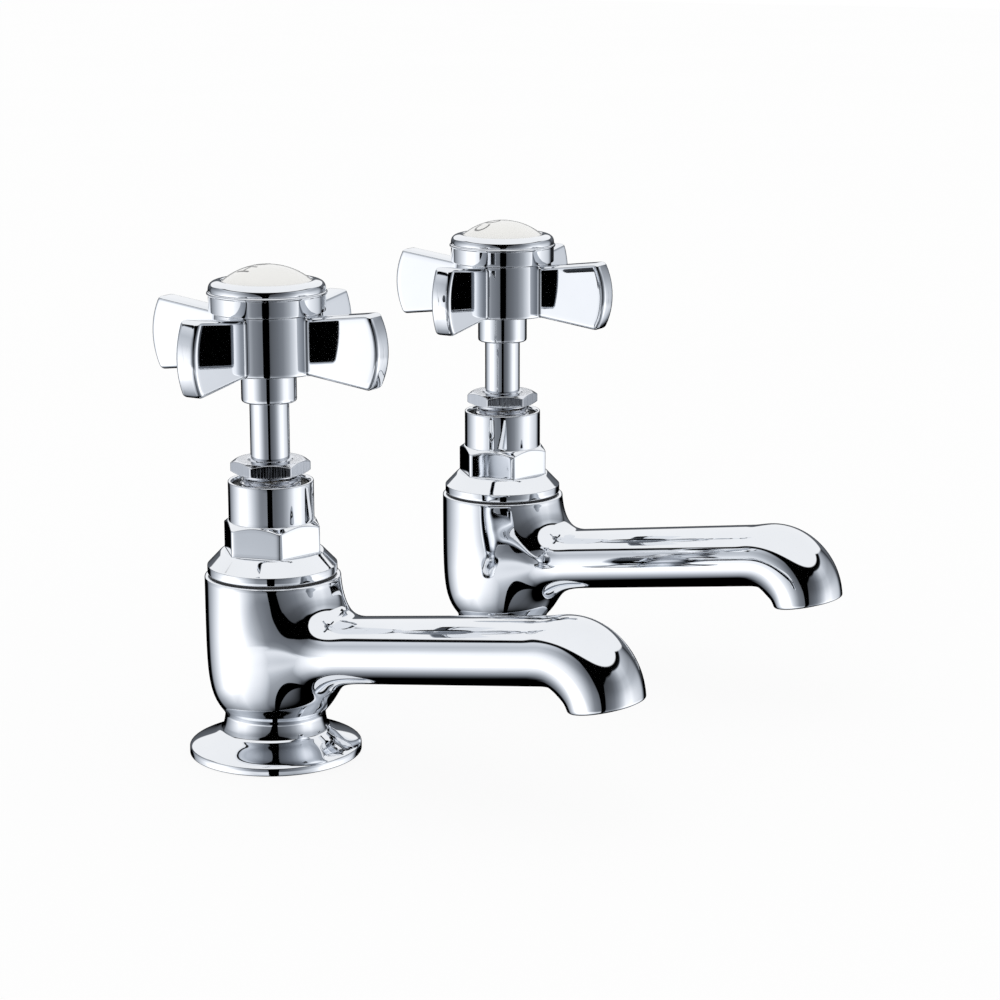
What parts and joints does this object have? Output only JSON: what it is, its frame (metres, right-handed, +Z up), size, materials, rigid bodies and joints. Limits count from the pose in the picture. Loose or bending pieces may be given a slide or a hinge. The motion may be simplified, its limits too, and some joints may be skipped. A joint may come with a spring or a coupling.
{
  "type": "pair of pillar taps",
  "caption": "Pair of chromed long nose pillar taps with four-arm cross handles, rising spindles and ceramic index buttons.",
  "frame": {"origin": "on the deck, midway between the axes of the two taps", "axes": "+X along the spouts, away from the taps; +Z up; the hot tap stands at -Y and the cold tap at +Y"},
  "size_m": [0.1663, 0.2112, 0.1982],
  "materials": {
    "chrome": "polished chromium plate on brass",
    "brass": "turned, unplated",
    "rubber": "black moulded rubber",
    "packing": "graphited packing",
    "fibre": "red vulcanised fibre",
    "ceramic": "glazed off-white ceramic"
  },
  "bodies": {
    "root": {"hot_body": "chrome", "hot_deck_gasket": "rubber", "hot_tail_washer": "fibre", "hot_backnut": "brass", "hot_headgear": "brass", "hot_headgear_washer": "fibre", "hot_cover": "chrome", "hot_cover_seal": "rubber", "hot_gland_nut": "chrome", "hot_gland_follower": "brass", "hot_gland_packing": "packing", "cold_body": "chrome", "cold_deck_gasket": "rubber", "cold_tail_washer": "fibre", "cold_backnut": "brass", "cold_headgear": "brass", "cold_headgear_washer": "fibre", "cold_cover": "chrome", "cold_cover_seal": "rubber", "cold_gland_nut": "chrome", "cold_gland_follower": "brass", "cold_gland_packing": "packing"},
    "hot_valve": {"hot_jumper": "brass", "hot_tap_washer": "rubber", "hot_washer_nut": "brass"},
    "hot_top": {"hot_spindle": "chrome", "hot_handle": "chrome", "hot_handle_bush": "chrome", "hot_handle_screw": "brass", "hot_bezel": "chrome", "hot_index": "ceramic"},
    "cold_valve": {"cold_jumper": "brass", "cold_tap_washer": "rubber", "cold_washer_nut": "brass"},
    "cold_top": {"cold_spindle": "chrome", "cold_handle": "chrome", "cold_handle_bush": "chrome", "cold_handle_screw": "brass", "cold_bezel": "chrome", "cold_index": "ceramic"}
  },
  "joints": [
    {"name": "hot_lift", "type": "slide", "parent": "root", "child": "hot_valve", "axis": [0, 0, 1], "range_m": [0, 0.00636]},
    {"name": "hot_turn", "type": "hinge", "parent": "hot_valve", "child": "hot_top", "pos_m": [0, -0.065, 0.1], "axis": [0, 0, 1], "range_deg": [0, 900]},
    {"name": "cold_lift", "type": "slide", "parent": "root", "child": "cold_valve", "axis": [0, 0, 1], "range_m": [0, 0.00636]},
    {"name": "cold_turn", "type": "hinge", "parent": "cold_valve", "child": "cold_top", "pos_m": [0, 0.065, 0.1], "axis": [0, 0, 1], "range_deg": [0, 900]}
  ],
  "couplings": [
    {"joint": "hot_lift", "follows": "hot_turn", "m_per_rad": 0.00040425},
    {"joint": "cold_lift", "follows": "cold_turn", "m_per_rad": 0.00040425}
  ]
}
